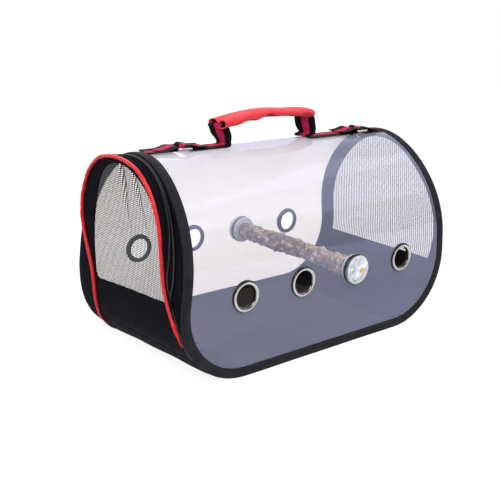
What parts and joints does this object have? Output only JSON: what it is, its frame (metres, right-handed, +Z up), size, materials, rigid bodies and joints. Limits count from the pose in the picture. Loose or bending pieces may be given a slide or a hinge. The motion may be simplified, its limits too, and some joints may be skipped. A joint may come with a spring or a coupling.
{
  "type": "bird travel carrier",
  "caption": "Soft-sided pet carrier: clear arched cabin, meshed ends with a zipped flap door, clamped wooden perch through metal eyelets, webbing top handle.",
  "frame": {"origin": "middle of the flat underside of the base", "axes": "+X along the cabin from the zipped door end to the fixed mesh end, +Y from the front wall to the rear wall, +Z up"},
  "size_m": [0.4528, 0.2586, 0.293],
  "materials": {
    "black_binding": "woven polyester tape, folded and stitched",
    "black_fabric": "coated polyester cloth",
    "black_metal": "black lacquered zinc",
    "black_zip": "nylon coil on tape",
    "brass": "polished brass",
    "clear_acrylic": "clear moulded acrylic",
    "clear_film": "clear soft PVC film, glossy",
    "dark_liner": "washable floor cloth",
    "grey_board": "stiff plastic board",
    "grey_foam": "closed-cell foam",
    "net_mesh": "open polyester net",
    "nickel_plate": "nickel plated pressed steel",
    "pepper_wood": "natural bark, knobbly",
    "red_fabric": "red polyester cloth",
    "red_piping": "corded satin piping",
    "spring_steel": "flat spring wire in a tape channel",
    "striped_webbing": "black webbing with a crimson centre stripe"
  },
  "bodies": {
    "carrier": {"base_board": "grey_board", "base_fabric": "black_fabric", "clear_roof": "clear_film", "floor_liner": "dark_liner", "frame_zip": "black_zip", "front_binding": "black_binding", "front_eyelet_1": "nickel_plate", "front_eyelet_2": "nickel_plate", "front_eyelet_3": "nickel_plate", "front_eyelet_4": "nickel_plate", "front_inner_disc": "clear_acrylic", "front_outer_disc": "clear_acrylic", "front_stud": "brass", "front_washer_1": "nickel_plate", "front_washer_2": "nickel_plate", "front_washer_3": "nickel_plate", "front_washer_4": "nickel_plate", "front_window": "clear_film", "left_binding": "black_binding", "left_frame": "black_fabric", "left_hoop": "spring_steel", "left_ring": "nickel_plate", "left_strap": "striped_webbing", "left_tab": "striped_webbing", "perch_branch": "pepper_wood", "rear_binding": "black_binding", "rear_eyelet_1": "nickel_plate", "rear_eyelet_2": "nickel_plate", "rear_eyelet_3": "nickel_plate", "rear_eyelet_4": "nickel_plate", "rear_inner_disc": "clear_acrylic", "rear_outer_disc": "clear_acrylic", "rear_stud": "brass", "rear_washer_1": "nickel_plate", "rear_washer_2": "nickel_plate", "rear_washer_3": "nickel_plate", "rear_washer_4": "nickel_plate", "rear_window": "clear_film", "right_binding": "black_binding", "right_hoop": "spring_steel", "right_mesh": "net_mesh", "right_panel": "black_fabric", "right_piping": "red_piping", "right_ring": "nickel_plate", "right_strap": "striped_webbing", "right_tab": "striped_webbing"},
    "left_door": {"door_panel": "black_fabric", "door_mesh": "net_mesh", "door_piping": "red_piping", "door_gusset": "black_fabric", "door_zip": "black_zip"},
    "zip_slider": {"zip_slider": "black_metal"},
    "zip_pull": {"zip_pull": "black_metal"},
    "handle": {"handle_web": "striped_webbing", "grip": "red_fabric", "grip_foam": "grey_foam"},
    "front_wing_nut": {"front_wing_nut": "clear_acrylic"},
    "rear_wing_nut": {"rear_wing_nut": "clear_acrylic"}
  },
  "joints": [
    {"name": "door_hinge", "type": "hinge", "parent": "carrier", "child": "left_door", "pos_m": [-0.202, 0, 0.036], "axis": [0, -1, 0], "range_deg": [0, 90]},
    {"name": "slider_travel", "type": "hinge", "parent": "carrier", "child": "zip_slider", "pos_m": [-0.21265, 0, 0.162], "axis": [0.994, 0, -0.109], "range_deg": [0, 100]},
    {"name": "pull_swing", "type": "hinge", "parent": "zip_slider", "child": "zip_pull", "pos_m": [-0.21111, 0.06894, 0.22003], "axis": [0.994, 0, -0.109], "range_deg": [0, 160]},
    {"name": "handle_fold", "type": "hinge", "parent": "carrier", "child": "handle", "pos_m": [-0.013, 0, 0.2658], "axis": [1, 0, 0], "range_deg": [-80, 80]},
    {"name": "front_nut_turn", "type": "hinge", "parent": "carrier", "child": "front_wing_nut", "pos_m": [0.044, -0.1242, 0.0985], "axis": [0, -1, 0], "continuous": true},
    {"name": "rear_nut_turn", "type": "hinge", "parent": "carrier", "child": "rear_wing_nut", "pos_m": [0.044, 0.1242, 0.0985], "axis": [0, 1, 0], "continuous": true}
  ]
}
